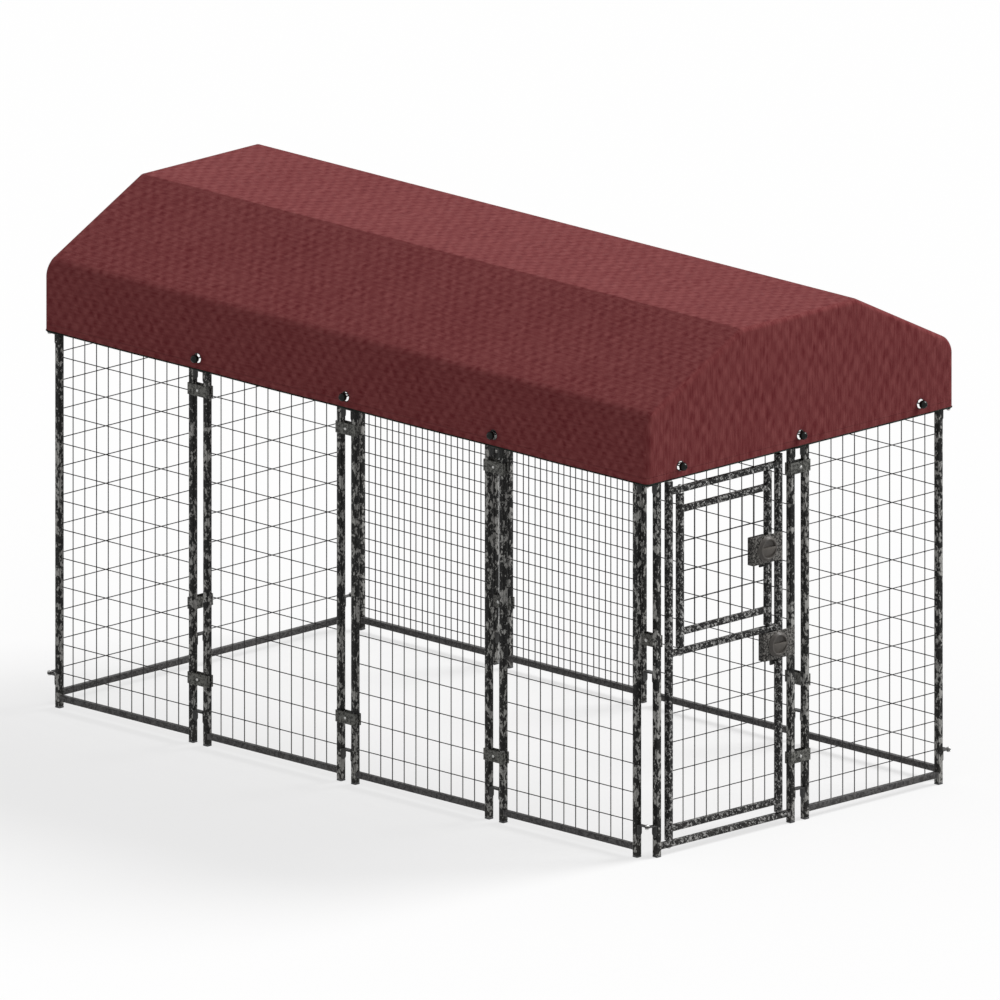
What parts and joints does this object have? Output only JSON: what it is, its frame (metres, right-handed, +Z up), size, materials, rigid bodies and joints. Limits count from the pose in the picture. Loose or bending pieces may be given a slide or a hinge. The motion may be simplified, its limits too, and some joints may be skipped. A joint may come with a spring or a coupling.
{
  "type": "wire dog run",
  "caption": "Rectangular dog run of wire panels clamped together at square posts, with a door, a smaller hatch in its upper half, turn latches and a fitted fabric roof with a skirt.",
  "frame": {"origin": "on the ground at the middle of the run's footprint", "axes": "+X along the long sides to the door end, +Y across the run to the right of someone who faces the door from outside, +Z up"},
  "size_m": [2.5324, 1.3132, 1.53],
  "materials": {
    "hammered_black": "mottled black and grey hammered paint",
    "door_paint": "strongly mottled black and light grey hammered paint",
    "clamp_plate": "fine-grained dark grey paint",
    "knob_plastic": "satin brownish grey",
    "zinc_steel": "dull zinc",
    "cover_cloth": "matt burgundy woven cloth",
    "ball_plastic": "glossy black"
  },
  "bodies": {
    "run_frame": {"left_panel_1": "hammered_black", "left_panel_2": "hammered_black", "left_panel_3": "hammered_black", "left_panel_4": "hammered_black", "right_panel_1": "hammered_black", "right_panel_2": "hammered_black", "right_panel_3": "hammered_black", "right_panel_4": "hammered_black", "back_panel_1": "hammered_black", "back_panel_2": "hammered_black", "front_panel_2": "hammered_black", "door_frame": "hammered_black", "door_frame_mesh": "hammered_black", "main_door_pin_lower": "zinc_steel", "main_door_pin_upper": "zinc_steel", "clamp_left_1_lower": "clamp_plate", "clamp_left_1_upper": "clamp_plate", "clamp_left_2_lower": "clamp_plate", "clamp_left_2_upper": "clamp_plate", "clamp_left_3_lower": "clamp_plate", "clamp_left_3_upper": "clamp_plate", "clamp_right_1_lower": "clamp_plate", "clamp_right_1_upper": "clamp_plate", "clamp_right_2_lower": "clamp_plate", "clamp_right_2_upper": "clamp_plate", "clamp_right_3_lower": "clamp_plate", "clamp_right_3_upper": "clamp_plate", "clamp_front_1_lower": "clamp_plate", "clamp_front_1_upper": "clamp_plate", "clamp_back_1_lower": "clamp_plate", "clamp_back_1_upper": "clamp_plate", "corner_bolt_front_left_lower": "zinc_steel", "corner_bolt_front_left_upper": "zinc_steel", "corner_bolt_front_right_lower": "zinc_steel", "corner_bolt_front_right_upper": "zinc_steel", "corner_bolt_back_left_lower": "zinc_steel", "corner_bolt_back_left_upper": "zinc_steel", "corner_bolt_back_right_lower": "zinc_steel", "corner_bolt_back_right_upper": "zinc_steel", "roof_bow_front": "hammered_black", "roof_bow_middle_1": "hammered_black", "roof_bow_back": "hammered_black", "ridge_tube_left": "hammered_black", "ridge_tube_right": "hammered_black", "cover": "cover_cloth", "ball_ties_left": "ball_plastic", "ball_ties_right": "ball_plastic", "ball_ties_front": "ball_plastic", "ball_ties_back": "ball_plastic"},
    "main_door": {"main_door": "door_paint", "main_door_mesh": "door_paint", "main_latch_housing": "clamp_plate", "hatch_pin_lower": "zinc_steel", "hatch_pin_upper": "zinc_steel"},
    "hatch": {"hatch_door": "door_paint", "hatch_latch_housing": "clamp_plate"},
    "main_latch": {"main_latch_knob": "knob_plastic", "main_latch_cam": "zinc_steel"},
    "hatch_latch": {"hatch_latch_knob": "knob_plastic", "hatch_latch_cam": "zinc_steel"}
  },
  "joints": [
    {"name": "main_door_hinge", "type": "hinge", "parent": "run_frame", "child": "main_door", "pos_m": [1.2307, -0.5315, 0], "axis": [0, 0, -1], "range_deg": [0, 110]},
    {"name": "hatch_hinge", "type": "hinge", "parent": "main_door", "child": "hatch", "pos_m": [1.2307, -0.4853, 0], "axis": [0, 0, -1], "range_deg": [0, 90]},
    {"name": "main_latch_turn", "type": "hinge", "parent": "main_door", "child": "main_latch", "pos_m": [1.2307, -0.0945, 0.552], "axis": [1, 0, 0], "range_deg": [0, 90]},
    {"name": "hatch_latch_turn", "type": "hinge", "parent": "hatch", "child": "hatch_latch", "pos_m": [1.2307, -0.1385, 0.8485], "axis": [1, 0, 0], "range_deg": [0, 90]}
  ]
}
